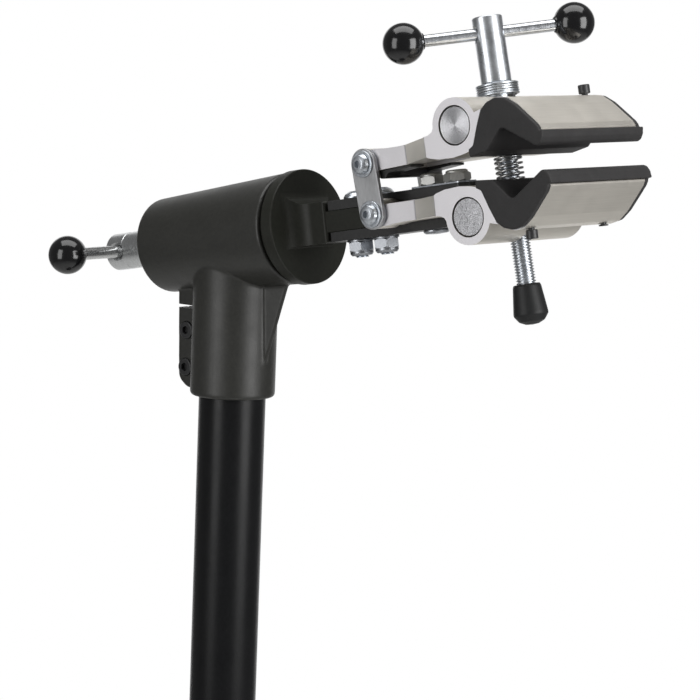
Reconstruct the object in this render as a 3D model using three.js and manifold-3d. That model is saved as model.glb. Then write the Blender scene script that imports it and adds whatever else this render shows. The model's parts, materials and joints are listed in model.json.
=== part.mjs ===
// Workshop bike repair stand: a floor plate and post, a tilted cone-brake head that turns through a full circle,
// and a screw clamp whose upper jaw swings open on two link plates. Millimetres, +Z up.
// The part origin is under the post axis, on the floor. +X is the way the clamp arm points, -Y its near side.
import * as THREE from "three";
import { mergeVertices } from "three/addons/utils/BufferGeometryUtils.js";
import Module from "manifold-3d";
const wasm = await Module();
wasm.setup();

// ---- driving dimensions ----
const HEAD_Z = 1450; // height of the point where the barrel axis crosses the post axis
const PITCH = 0.18503; // barrel and arm point upward by this angle (rad)
const PLATE = { x0: -200, x1: 380, y: 240, t: 12, corner: 60 };
const POST_R = 25, POST_WALL = 3, POST_TOP = HEAD_Z - 52;
const SOCKET = { flangeR: 76, flangeT: 12, sleeveR: 34, top: 120, boltR: 58 };
const COLLAR_R = 31.8, COLLAR_BOTTOM = -119.3;
const BARREL = { rearX: -72, rearR: 35.4, frontX: 58.4, frontR: 41 };
const LUG = { x: -49, y: 11, top: -38, slotTop: -54.6, slotH: 2.6, slit: 2.4 };
const PINCH = { x: -38.6, z: [-73.6, -101.5], r: 4, headR: 6.5 };
const DISC = { x0: 62.8, x1: 72.1, r: 42 };
const BLOCK = { x1: 99.8, y: 13.6, z0: -14.3, z1: 15.7 };
const STACK = 0.75, TONGUE_H = 7.6, PLATE_T = 7, ARM_PLATE = { x0: 101.6, x1: 230, y: 12.5 };
const TONGUE_BOLTS = [119.6, 143.4], JAW_BOLTS = [190.6, 213.9], M10 = 5;
const BOSS = { x0: -125.7, x1: -75.6, r: 14, barX: -114.6, barR: 4.7 };
const KNOB_R = 14.5, REAR_KNOB = 65, T_KNOB = 61, T_ANGLE = 51.5, T_BAR_R = 4.25;
const LOWER_PIN = [262.3, -10.7], UPPER_PIN = [258.7, 52.2], UPPER_TURN = 2.3;
const LINK_LOW = [163.0, 0.9], LINK_TOP = [159.95, 36.6], LINK_R = 10.8, LINK_T = 3.2, LINK_Y = 33.4;
const JAW_Y = 53.4, ARM_Y = 32, FLANGE_Y0 = 53.7, FLANGE_Y1 = 57.6, PIN_R = 12.95, PIN_BORE = 13.8;
const PAD_SCREW_Y = [-40.5, 41];
const SCREW_TILT = 0.0566, SCREW_R = 7, T_BOSS_R = 10.65;

const SEG = { big: 40, mid: 24, small: 12 };
const PI = Math.PI, deg = PI / 180;

// ---- solids ----
function solid(geometry, matrix) {
  const g = (geometry.index ? geometry.toNonIndexed() : geometry.clone());
  if (matrix) g.applyMatrix4(matrix);
  const only = new THREE.BufferGeometry().setAttribute("position", g.getAttribute("position"));
  const w = mergeVertices(only, 1e-4);
  const build = (flip) => {
    const tri = new Uint32Array(w.index.array);
    if (flip) for (let i = 0; i < tri.length; i += 3) [tri[i + 1], tri[i + 2]] = [tri[i + 2], tri[i + 1]];
    return new wasm.Manifold(new wasm.Mesh({ numProp: 3, vertProperties: w.attributes.position.array, triVerts: tri }));
  };
  const m = build(false);
  return m.volume() < 0 ? build(true) : m;
}
const M = () => new THREE.Matrix4();
const move = (x, y, z) => M().makeTranslation(x, y, z);
// LatheGeometry turns about its Y axis; these matrices lay that axis along x, y or z.
const LAY = {
  x: M().makeBasis(new THREE.Vector3(0, 1, 0), new THREE.Vector3(1, 0, 0), new THREE.Vector3(0, 0, -1)),
  y: M(),
  z: M().makeBasis(new THREE.Vector3(1, 0, 0), new THREE.Vector3(0, 0, 1), new THREE.Vector3(0, -1, 0)),
};
// profile: [radius, station] pairs, from axis to axis
function turned(profile, axis, at = [0, 0, 0], seg = SEG.mid) {
  const pts = profile.map(([r, s]) => new THREE.Vector2(r, s));
  return solid(new THREE.LatheGeometry(pts, seg), move(...at).multiply(LAY[axis]));
}
const rod = (r, a, b, axis, at, seg = SEG.mid) => turned([[0, a], [r, a], [r, b], [0, b]], axis, at, seg);
function rodChamfer(r, a, b, c, axis, at, seg = SEG.mid) {
  return turned([[0, a], [r - c, a], [r, a + c], [r, b - c], [r - c, b], [0, b]], axis, at, seg);
}
function ring(ro, ri, a, b, axis, at, seg = SEG.mid) {
  return turned([[ri, a], [ro, a], [ro, b], [ri, b], [ri, a]], axis, at, seg);
}
function box(x0, x1, y0, y1, z0, z1) {
  return solid(new THREE.BoxGeometry(x1 - x0, y1 - y0, z1 - z0), move((x0 + x1) / 2, (y0 + y1) / 2, (z0 + z1) / 2));
}
function prismXZ(points, y0, y1) {
  const s = new THREE.Shape(points.map(([x, z]) => new THREE.Vector2(x, z)));
  const g = new THREE.ExtrudeGeometry(s, { depth: y1 - y0, bevelEnabled: false });
  return solid(g, move(0, y1, 0).multiply(M().makeRotationX(PI / 2)));
}
function prismXY(points, z0, z1) {
  const s = new THREE.Shape(points.map(([x, y]) => new THREE.Vector2(x, y)));
  return solid(new THREE.ExtrudeGeometry(s, { depth: z1 - z0, bevelEnabled: false }), move(0, 0, z0));
}
const hexPoints = (af) => [0, 1, 2, 3, 4, 5].map((i) => {
  const a = (i + 0.5) * PI / 3, r = af / Math.sqrt(3);
  return [r * Math.cos(a), r * Math.sin(a)];
});
function hex(af, a, b, axis, at) {
  const s = new THREE.Shape(hexPoints(af).map(([x, y]) => new THREE.Vector2(x, y)));
  const g = new THREE.ExtrudeGeometry(s, { depth: b - a, bevelEnabled: false });
  const lay = axis === "z" ? M() : axis === "y" ? M().makeRotationX(-PI / 2) : M().makeRotationY(PI / 2);
  return solid(g, move(...at).multiply(lay).multiply(move(0, 0, a)));
}
const arc = (cx, cz, r, a0, a1, n) => Array.from({ length: n + 1 }, (_, i) => {
  const a = (a0 + (a1 - a0) * i / n) * deg;
  return [cx + r * Math.cos(a), cz + r * Math.sin(a)];
});
const cut = (a, ...bs) => bs.reduce((m, b) => m.subtract(b), a);
const join = (a, ...bs) => bs.reduce((m, b) => m.add(b), a);

const COLORS = {
  black: [0x2b2a29, 0.5, 0.55], satin: [0x1b1b1c, 0.5, 0.5], steel: [0xb9bdc2, 0.9, 0.3], zinc: [0xa9adb0, 0.8, 0.4],
  alu: [0xc4c0bd, 0.7, 0.4], rubber: [0x333134, 0, 0.85], knob: [0x0b0b0c, 0, 0.15], bronze: [0x9a7a46, 0.7, 0.5],
};
function mesh(name, m, kind, parent) {
  const s = m.getMesh(), n = s.numProp, v = new Float32Array(s.numVert * 3);
  for (let i = 0; i < s.numVert; i++) v.set(s.vertProperties.subarray(i * n, i * n + 3), i * 3);
  const g = new THREE.BufferGeometry().setAttribute("position", new THREE.BufferAttribute(v, 3)).setIndex(new THREE.BufferAttribute(new Uint32Array(s.triVerts), 1)).toNonIndexed();
  g.computeVertexNormals();
  const [color, metalness, roughness] = COLORS[kind];
  const o = new THREE.Mesh(g, new THREE.MeshStandardMaterial({ color, metalness, roughness }));
  o.name = name;
  parent.add(o);
  return o;
}

const root = new THREE.Group();
root.name = "bike_repair_stand";
const top = new THREE.Group(); // origin at the crossing of the barrel and post axes, upright
top.position.set(0, 0, HEAD_Z);
root.add(top);
const head = new THREE.Group(); // same origin, +X along the barrel
head.rotation.y = -PITCH;
top.add(head);
const pitched = M().makeRotationY(-PITCH);

// ---- floor plate, socket, post ----
{
  const { x0, x1, y, t, corner: c } = PLATE;
  let plate = prismXY([[x0 + c, -y], [x1 - c, -y], [x1, -y + c], [x1, y - c], [x1 - c, y], [x0 + c, y], [x0, y - c], [x0, -y + c]], 0, t);
  const hole = (x, yy, r) => rod(r, -1, t + 1, "z", [x, yy, 0], SEG.small);
  for (const sx of [x0 + 42, x1 - 42]) for (const sy of [-y + 74, y - 74]) plate = plate.subtract(hole(sx, sy, 7));
  let socket = turned([[POST_R + 0.35, t + 0.3], [SOCKET.flangeR, t + 0.3], [SOCKET.flangeR, t + SOCKET.flangeT - 2], [SOCKET.flangeR - 2, t + SOCKET.flangeT], [SOCKET.sleeveR + 6, t + SOCKET.flangeT], [SOCKET.sleeveR + 1.5, t + SOCKET.flangeT + 3], [SOCKET.sleeveR, t + SOCKET.flangeT + 9], [SOCKET.sleeveR, SOCKET.top - 2], [SOCKET.sleeveR - 2, SOCKET.top], [POST_R + 0.35, SOCKET.top], [POST_R + 0.35, t + 0.3]], "z", [0, 0, 0], 32);
  for (let i = 0; i < 4; i++) {
    const a = (45 + 90 * i) * deg, x = SOCKET.boltR * Math.cos(a), yy = SOCKET.boltR * Math.sin(a);
    plate = plate.subtract(hole(x, yy, 6.4));
    socket = socket.subtract(rod(6.4, t - 1, t + SOCKET.flangeT + 1, "z", [x, yy, 0], SEG.small));
    const z = t + SOCKET.flangeT + 0.3;
    const bolt = join(rod(6, 2, z + 1, "z", [x, yy, 0], SEG.small), rod(11.5, z, z + 2, "z", [x, yy, 0], SEG.small), hex(18, z + 1.5, z + 9.5, "z", [x, yy, 0]));
    mesh("base_bolt_" + (i + 1), bolt, "zinc", root);
  }
  mesh("base_plate", plate, "black", root);
  mesh("base_socket", socket, "black", root);
  mesh("post_tube", ring(POST_R, POST_R - POST_WALL, t + 0.4, POST_TOP, "z", [0, 0, 0], 32), "satin", root);
}

// ---- head casting: barrel, collar, split clamp lug, web ----
const hubR = (x) => 27 + (x + 40) * 0.066;
{
  const B = BARREL;
  let barrel = turned([[0, B.rearX], [B.rearR - 3, B.rearX], [B.rearR - 1.2, B.rearX + 0.5], [B.rearR - 0.3, B.rearX + 1.5], [B.rearR, B.rearX + 3.2], [B.frontR - 0.9, B.frontX - 0.9], [B.frontR - 1.8, B.frontX], [0, B.frontX]], "x", [0, 0, 0], SEG.big);
  barrel = cut(barrel,
    turned([[0, -42], [hubR(-42) + 2.5, -42], [hubR(61) + 2.5, 61], [0, 61]], "x", [0, 0, 0], 48),
    rod(8.8, B.rearX - 2, -40, "x", [0, 0, 0], SEG.small));
  const barrelUp = reposed(barrel, pitched);
  const collarOuter = turned([[0, COLLAR_BOTTOM], [COLLAR_R - 2.4, COLLAR_BOTTOM], [COLLAR_R - 0.7, COLLAR_BOTTOM + 0.8], [COLLAR_R, COLLAR_BOTTOM + 2.6], [COLLAR_R, -10], [0, -10]], "z", [0, 0, 0], 32);
  const lug = prismXZ([[-20, COLLAR_BOTTOM + 2.4], [LUG.x + 13.6, COLLAR_BOTTOM + 2.4], ...arc(LUG.x + 13.6, COLLAR_BOTTOM + 12.9, 10.5, 270, 180, 6).slice(1), [LUG.x, LUG.top], [-20, LUG.top]], -LUG.y, LUG.y);
  const web = prismXZ([[20, -20], [53.6, -27.5], [32.2, -93.5], [30.4, -97], [20, -97]], -2.6, 2.6);
  let body = join(collarOuter, lug, web);
  // keep the barrel cavity open where collar, lug and web cross it
  const cavity = reposed(join(
    turned([[0, -42], [hubR(-42) + 2.5, -42], [hubR(61) + 2.5, 61], [0, 61]], "x", [0, 0, 0], 48),
    rod(8.8, B.rearX - 30, -40, "x", [0, 0, 0], SEG.small),
    rod(60, 60, 120, "x", [0, 0, 0], SEG.small),
    rod(60, -160, -72, "x", [0, 0, 0], SEG.small)), pitched);
  body = join(body, barrelUp);
  body = cut(body, cavity,
    rod(POST_R + 0.35, COLLAR_BOTTOM - 5, -50, "z", [0, 0, 0], 32),
    box(LUG.x - 5, -POST_R - 0.8, -LUG.y - 30, LUG.y + 30, LUG.slotTop - LUG.slotH, LUG.slotTop),
    box(LUG.x - 5, -20, -LUG.slit / 2, LUG.slit / 2, COLLAR_BOTTOM - 5, LUG.slotTop - 0.5));
  for (const z of PINCH.z) {
    body = cut(body, rod(PINCH.r + 0.3, -40, 40, "y", [PINCH.x, 0, z], SEG.small), rod(PINCH.headR + 0.4, -40, -7.2, "y", [PINCH.x, 0, z], SEG.small));
  }
  mesh("head_casting", body, "black", top);
  PINCH.z.forEach((z, i) => {
    const b = cut(join(rod(PINCH.r, -8, 10.5, "y", [PINCH.x, 0, z], SEG.small), rodChamfer(PINCH.headR, -12.4, -7.5, 0.6, "y", [PINCH.x, 0, z], SEG.small)), hex(6, -13, -9, "y", [PINCH.x, 0, z]));
    mesh("pinch_bolt_" + (i + 1), b, "satin", top);
  });
}
function reposed(m, matrix) {
  const s = m.getMesh(), n = s.numProp, v = new Float32Array(s.numVert * 3);
  for (let i = 0; i < s.numVert; i++) v.set(s.vertProperties.subarray(i * n, i * n + 3), i * 3);
  const g = new THREE.BufferGeometry().setAttribute("position", new THREE.BufferAttribute(v, 3)).setIndex(new THREE.BufferAttribute(new Uint32Array(s.triVerts), 1));
  return solid(g, matrix);
}

// ---- turning head: liner, disc with cone hub, block and tongue, drawbolt ----
mesh("cone_liner", turned([[hubR(-39) + 0.35, -39], [hubR(-39) + 2.15, -39], [hubR(56) + 2.15, 56], [hubR(56) + 0.35, 56], [hubR(-39) + 0.35, -39]], "x", [0, 0, 0], 48), "bronze", head);
{
  let disc = turned([[0, -40], [hubR(-40), -40], [hubR(58), 58], [38.2, 58.8], [38.2, DISC.x0], [DISC.r - 0.6, DISC.x0], [DISC.r, DISC.x0 + 0.6], [DISC.r, DISC.x1 - 0.7], [DISC.r - 0.7, DISC.x1], [0, DISC.x1]], "x", [0, 0, 0], SEG.big);
  const B = BLOCK, z0 = STACK - TONGUE_H, z1 = STACK + TONGUE_H, e = 153.4;
  const block = prismXZ([[70, B.z0 - 1.6], [DISC.x1, B.z0 - 1.6], [DISC.x1 + 2.4, B.z0], [B.x1 - 1.8, B.z0], [B.x1, B.z0 + 1.8], [B.x1, B.z1 - 1.8], [B.x1 - 1.8, B.z1], [DISC.x1 + 2.4, B.z1], [DISC.x1, B.z1 + 1.6], [70, B.z1 + 1.6]], -B.y, B.y);
  const y = ARM_PLATE.y;
  const tongue = prismXY([[95, -y], [e - 4, -y], [e, -y + 4], [e, y - 4], [e - 4, y], [95, y]], z0, z1);
  disc = join(disc, block, tongue);
  disc = cut(disc, rod(8.35, -41, 12, "x", [0, 0, 0], SEG.small));
  for (const x of TONGUE_BOLTS) disc = cut(disc, rod(M10 + 0.35, z0 - 1, z1 + 1, "z", [x, 0, 0], SEG.small));
  mesh("rotating_disc", disc, "black", head);
  mesh("drawbolt", rodChamfer(8, -103, 11.5, 1, "x", [0, 0, 0], SEG.small), "steel", head);
}

// ---- rear tension handle ----
mesh("tension_washer", ring(15.6, 8.4, -75.2, -72.4, "x", [0, 0, 0], SEG.mid), "zinc", head);
{
  let b = rodChamfer(BOSS.r, BOSS.x0, BOSS.x1, 1.2, "x", [0, 0, 0], SEG.mid);
  b = cut(b, rod(8.4, -104, -70, "x", [0, 0, 0], SEG.small), rod(BOSS.barR + 0.35, -30, 30, "y", [BOSS.barX, 0, 0], SEG.small));
  mesh("tension_boss", b, "steel", head);
  mesh("tension_bar", rodChamfer(BOSS.barR, -REAR_KNOB + 5, REAR_KNOB - 5, 0.8, "y", [BOSS.barX, 0, 0], SEG.small), "steel", head);
  for (const [s, n] of [[-1, "near"], [1, "far"]]) mesh("tension_knob_" + n, knob(BOSS.barR, s, REAR_KNOB, 5, "y", [BOSS.barX, 0, 0]), "knob", head);
}
// A ball knob of radius KNOB_R on a bar along the given axis, centred at side*dist, with a blind hole for the bar end and a short neck.
function knob(barR, side, dist, hide, axis, at) {
  const n = 9, prof = [[0, -KNOB_R]];
  for (let i = 1; i <= n; i++) {
    const a = -90 + 180 * i / n;
    const r = KNOB_R * Math.cos(a * deg), s = KNOB_R * Math.sin(a * deg);
    if (s > KNOB_R - 1.3) break;
    prof.push([r, s]);
  }
  // flat where the bar enters
  const rf = 6.4, sf = Math.sqrt(KNOB_R * KNOB_R - rf * rf);
  const p = prof.filter(([, s]) => s < sf - 0.6);
  p.push([rf, sf], [rf - 0.3, sf + 1.1], [0, sf + 1.1]);
  const q = p.map(([r, s]) => [r, side * (dist - s)]);
  const ball = turned(side > 0 ? q.slice().reverse() : q, axis, at, 20);
  const hole = side > 0 ? rod(barR + 0.35, dist - KNOB_R - 4, dist - hide + 0.4, axis, at, SEG.small) : rod(barR + 0.35, -(dist - hide + 0.4), -(dist - KNOB_R - 4), axis, at, SEG.small);
  return ball.subtract(hole);
}

// ---- arm plates, their bolts and nuts ----
{
  const { x0, x1, y } = ARM_PLATE, zin = TONGUE_H + 0.2;
  const outline = [[x0, -y], [x1 - 6, -y], [x1, -y + 6], [x1, y - 6], [x1 - 6, y], [x0, y]];
  const drill = (m) => [...TONGUE_BOLTS, ...JAW_BOLTS].reduce((a, x) => a.subtract(rod(M10 + 0.35, -40, 40, "z", [x, 0, 0], SEG.small)), m);
  mesh("arm_plate_top", drill(prismXY(outline, STACK + zin, STACK + zin + PLATE_T)), "black", head);
  mesh("arm_plate_bottom", drill(prismXY(outline, STACK - zin - PLATE_T, STACK - zin)), "black", head);
  const zt = STACK + zin + PLATE_T, zb = STACK - zin - PLATE_T;
  TONGUE_BOLTS.forEach((x, i) => {
    const at = [x, 0, 0];
    const dome = turned([[0, zt + 0.2], [9.2, zt + 0.2], [9.2, zt + 1.2], [7.6, zt + 3.6], [4.6, zt + 5.2], [0, zt + 5.5]], "z", at, SEG.small);
    mesh("tongue_bolt_" + (i + 1), join(rod(M10, zb - 13, zt + 1, "z", at, SEG.small), dome), "steel", head);
    const nut = join(ring(9.6, M10 + 0.35, zb - 1.6, zb - 0.2, "z", at, SEG.small), cut(hex(17, zb - 8.6, zb - 1.4, "z", at), rod(M10 + 0.35, -60, 60, "z", at, SEG.small)), ring(8.6, M10 + 0.35, zb - 11.6, zb - 8.4, "z", at, SEG.small));
    mesh("tongue_nut_" + (i + 1), nut, "zinc", head);
  });
  mesh("jaw_nut_plate", drill(prismXY([[JAW_BOLTS[0] - 12, -9.6], [JAW_BOLTS[1] + 8, -9.6], [JAW_BOLTS[1] + 13, -5], [JAW_BOLTS[1] + 13, 5], [JAW_BOLTS[1] + 8, 9.6], [JAW_BOLTS[0] - 12, 9.6]], zt + 0.2, zt + 1.6)), "zinc", head);
  JAW_BOLTS.forEach((x, i) => {
    const at = [x, 0, 0], z = zt + 1.8;
    const low = turned([[0, zb - 0.2], [9.4, zb - 0.2], [9.4, zb - 1.4], [8, zb - 2.8], [0, zb - 3.4]], "z", at, SEG.small);
    mesh("jaw_bolt_" + (i + 1), join(rod(M10, zb - 1, z + 7.6, "z", at, SEG.small), low), "zinc", head);
    const nut = join(cut(hex(17, z, z + 6.2, "z", at), rod(M10 + 0.35, -60, 60, "z", at, SEG.small)), ring(7.9, M10 + 0.35, z + 6, z + 8.2, "z", at, SEG.small));
    mesh("jaw_nut_" + (i + 1), nut, "zinc", head);
  });
}

// ---- jaws ----
// Jaw frame: origin at its cross pin, +X toward the lip, +Z toward the pad.
const lowerJaw = new THREE.Group();
lowerJaw.position.set(LOWER_PIN[0], 0, LOWER_PIN[1]);
head.add(lowerJaw);
const upperJaw = new THREE.Group();
upperJaw.rotation.order = "YXZ";
upperJaw.rotation.set(PI, -UPPER_TURN * deg, 0);
upperJaw.position.set(UPPER_PIN[0], 0, UPPER_PIN[1]);
head.add(upperJaw);
const ARM_Z0 = 3.9, ARM_Z1 = 17.6, LINK_J = [-99.3, 11.6], BOSS_R = 19, END_R = 10.5;
const jawProfile = [[-30, ARM_Z0], [-24, ARM_Z0 - 0.8], [-20.4, ARM_Z0 - 2.4], ...arc(0, 0, BOSS_R, 183, 342, 14), [21.5, -6.6], [27, -7.6], [32.5, -11], [40, -13], [48, -11.4], [56, -5.4], [64.5, 3.4], [71, 10.2], [72.8, 13.4], [72.6, 14.8], [70, 15.4], [44.5, 1.8], [40, 1.8], [24.5, 17], [12.3, 18.6], [6, 20.3], [-4.5, 21.5], [-17.6, 20.7], [-25, 18.9], [-28, ARM_Z1], [-30, ARM_Z1]];
const plan = [[-99.3, -ARM_Y], [-62.8, -ARM_Y], [-28, -JAW_Y], [90, -JAW_Y], [90, JAW_Y], [-28, JAW_Y], [-62.8, ARM_Y], [-99.3, ARM_Y]];
function jawBody(upper) {
  let m = prismXZ(jawProfile, -JAW_Y, JAW_Y);
  const armEnd = prismXZ([...arc(LINK_J[0], LINK_J[1], END_R, 35, 300, 14), [-90, 2.4], [-82, 3.4], [-70, ARM_Z0], [-29, ARM_Z0], [-29, ARM_Z1]], -JAW_Y, JAW_Y);
  m = join(m, armEnd).intersect(prismXY([[-115, -ARM_Y], ...plan.slice(1, 7), [-115, ARM_Y]], -40, 40));
  // the lower arm is relieved where the arm plates pass and packed up to their faces between them
  if (!upper) {
    m = cut(m, box(-112, -29, -13.2, 13.2, -5, 3.85), box(-112, -88, -13.2, 13.2, 18.95, 30), box(-112, -107, -13.2, 13.2, -5, 30));
    m = join(m, box(-98, -26, -12.2, 12.2, 10, 18.95));
  }
  m = cut(m, rod(PIN_BORE, -60, 60, "y", [0, 0, 0], SEG.mid));
  // screw slot: wide on the outer side for the thrust bush of the upper jaw
  if (upper) m = cut(m, box(-12.6, 14.4, -9.9, 9.9, -25, 0), box(-12.8, 9.8, -8.2, 8.2, 0, 25));
  else m = cut(m, box(-10.2, 11.6, -8.2, 8.2, -25, 0), box(-11.6, 9.6, -8.2, 8.2, 0, 25));
  // link bolt holes from each side
  m = cut(m, rod(4.3, -60, -10, "y", [LINK_J[0], 0, LINK_J[1]], SEG.small), rod(4.3, 10, 60, "y", [LINK_J[0], 0, LINK_J[1]], SEG.small));
  if (upper) m = cut(m, box(-83.5, -31, -14.5, 14.5, 12.95, 30)); // room for the nuts when the jaws close
  else for (const x of JAW_BOLTS) m = cut(m, rod(M10 + 0.35, -30, 30, "z", [x - LOWER_PIN[0], 0, 0], SEG.small));
  for (const y of PAD_SCREW_Y) m = cut(m, padScrewHole(y));
  return m;
}
// pad screws enter at the crest of the jaw's outer side and run straight in to the pad
const crestFrame = (y) => move(43, y, -12.4).multiply(M().makeRotationY(PI)); // local +Z points out of the jaw
function padScrewHole(y) { return reposed(rod(2.4, -16, 10, "z", [0, 0, 0], 12), crestFrame(y)); }
const padFace = [[12.4, 23.9], [28, 21.7], [41.1, 8.9], [43.8, 8.7], [68.4, 24.3], [70.4, 24.8], [73.4, 23.3], [75.5, 19.9], [76.3, 15.2]];
const padBody = [[73, 15.15], [69.9, 15.8], [44.3, 2.2], [40.2, 2.2], [24.7, 17.4], [12.4, 19]];
const flange = [[73.2, 15], [73, 13.3], [71.1, 10.1], [64.5, 3.4], [56, -5.3], [48, -11], [40, -12.5], [32.7, -10.5], [27, -6.5], [21.8, 4], [16.5, 16.4], [12.4, 18.3]];
function pad() {
  let m = prismXZ([...padFace, ...padBody].reverse(), -FLANGE_Y1 + 0.4, FLANGE_Y1 - 0.4);
  for (const s of [-1, 1]) m = join(m, prismXZ([...padFace, ...flange].reverse(), s < 0 ? -FLANGE_Y1 : FLANGE_Y0, s < 0 ? -FLANGE_Y0 : FLANGE_Y1));
  for (const y of PAD_SCREW_Y) m = cut(m, reposed(rod(2.4, -18.3, 10, "z", [0, 0, 0], 12), crestFrame(y)));
  return m;
}
function padScrew(y, tall) {
  const m = join(rod(2.1, -17.9, 1.2, "z", [0, 0, 0], 12), tall ? rodChamfer(4.1, 0.9, 7.2, 0.6, "z", [0, 0, 0], 16) : rodChamfer(3.4, 0.9, 1.9, 0.3, "z", [0, 0, 0], 16));
  return reposed(cut(m, hex(2.6, tall ? 4.5 : 1.4, 9, "z", [0, 0, 0])), crestFrame(y));
}
mesh("lower_jaw", jawBody(false), "alu", lowerJaw);
mesh("upper_jaw", jawBody(true), "alu", upperJaw);
mesh("lower_pad", pad(), "rubber", lowerJaw);
mesh("upper_pad", pad(), "rubber", upperJaw);
for (const [i, y] of PAD_SCREW_Y.entries()) {
  mesh("lower_pad_screw_" + (i + 1), padScrew(y, i === 0), "satin", lowerJaw);
  mesh("upper_pad_screw_" + (i + 1), padScrew(y, i === 0), "satin", upperJaw);
}
// stiffening bar under the upper arm with a thin foot forked round the nuts
mesh("under_arm_plate", prismXZ([[-90.4, ARM_Z1 + 0.3], [-62, ARM_Z1 + 0.3], [-62, ARM_Z1 + 2], [-83, ARM_Z1 + 3], [-86, ARM_Z1 + 6.2], [-90.4, ARM_Z1 + 6.2]], -30, 30).subtract(box(-84.5, -50, -15, 15, 0, 40)), "satin", upperJaw);

// ---- cross pins, thrust stack, screw, handle; frame along the screw axis ----
const screwBase = (px) => M().makeTranslation(px[0], 0, px[1]).multiply(M().makeRotationY(-Math.atan(SCREW_TILT)));
function along(group, px) { group.applyMatrix4(screwBase(px)); head.add(group); return group; }
const lowFrame = along(new THREE.Group(), LOWER_PIN), upFrame = along(new THREE.Group(), UPPER_PIN);
mesh("lower_barrel_nut", cut(rodChamfer(PIN_R, -JAW_Y + 0.4, JAW_Y - 0.4, 0.6, "y", [0, 0, 0], SEG.mid), rod(SCREW_R + 0.8, -20, 20, "z", [0, 0, 0], SEG.mid)), "steel", lowFrame);
mesh("upper_barrel_pin", cut(rodChamfer(PIN_R, -JAW_Y + 0.4, JAW_Y - 0.4, 0.6, "y", [0, 0, 0], SEG.mid), rod(SCREW_R + 0.45, -20, 20, "z", [0, 0, 0], SEG.mid), box(-20, 20, -10.4, 10.4, 11.3, 20)), "steel", upFrame);
mesh("thrust_bush", turned([[7.5, 11.6], [9.2, 11.6], [9.2, 19.7], [15, 19.7], [15, 22.5], [7.5, 22.5], [7.5, 11.6]], "z", [0, 0, 0], SEG.mid), "zinc", upFrame);
mesh("thrust_race", ring(14.9, 7.5, 22.8, 25.9, "z", [0, 0, 0], SEG.mid), "steel", upFrame);
mesh("thrust_washer", ring(15, 7.5, 26.2, 27.8, "z", [0, 0, 0], SEG.mid), "zinc", upFrame);
{
  const bottom = -112.5, bossLow = 28.4, bossTop = 75, bar = 63.5;
  let s = turned([[0, bottom], [SCREW_R - 1.2, bottom], [SCREW_R, bottom + 1.4], [SCREW_R, bossLow], [T_BOSS_R, bossLow], [T_BOSS_R, bossTop - 1], [T_BOSS_R - 1, bossTop], [0, bossTop]], "z", [0, 0, 0], SEG.mid);
  const tAt = (group) => { group.rotation.z = T_ANGLE * deg; group.position.set(0, 0, bar); };
  s = s.subtract(reposed(rod(T_BAR_R + 0.35, -30, 30, "x", [0, 0, 0], SEG.small), move(0, 0, bar).multiply(M().makeRotationZ(T_ANGLE * deg))));
  mesh("clamp_screw", s, "steel", upFrame);
  const t = new THREE.Group();
  tAt(t);
  upFrame.add(t);
  mesh("t_bar", rodChamfer(T_BAR_R, -T_KNOB + 5, T_KNOB - 5, 0.8, "x", [0, 0, 0], SEG.small), "steel", t);
  for (const [sd, n] of [[-1, "near"], [1, "far"]]) mesh("t_knob_" + n, knob(T_BAR_R, sd, T_KNOB, 5, "x", [0, 0, 0]), "knob", t);
  // rubber cap over the last of the thread
  let cap = turned([[0, -140], [4.5, -139.4], [8.6, -137.4], [11.4, -134.4], [12.1, -132.6], [12.1, -131], [9.9, -112.9], [9.2, -111.9], [0, -111.9]], "z", [0, 0, 0], 32);
  cap = cap.subtract(rod(SCREW_R + 0.35, bottom - 0.4, bottom + 20, "z", [0, 0, 0], SEG.small));
  mesh("screw_end_cap", cap, "rubber", upFrame);
}
// opening spring round the screw, between the jaws
{
  const wire = 0.85, R = 9.2, z0 = 22.7, z1 = 39.8, turns = 5;
  class Helix extends THREE.Curve {
    getPoint(t, p = new THREE.Vector3()) {
      const a = t * turns * 2 * PI;
      return p.set(R * Math.cos(a), R * Math.sin(a), z0 + (z1 - z0) * t);
    }
  }
  const sec = new THREE.Shape(Array.from({ length: 6 }, (_, i) => new THREE.Vector2(wire * Math.cos(i * PI / 3), wire * Math.sin(i * PI / 3))));
  const g = new THREE.ExtrudeGeometry(sec, { steps: 60, bevelEnabled: false, extrudePath: new Helix() });
  mesh("opening_spring", solid(g), "steel", lowFrame);
}

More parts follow.
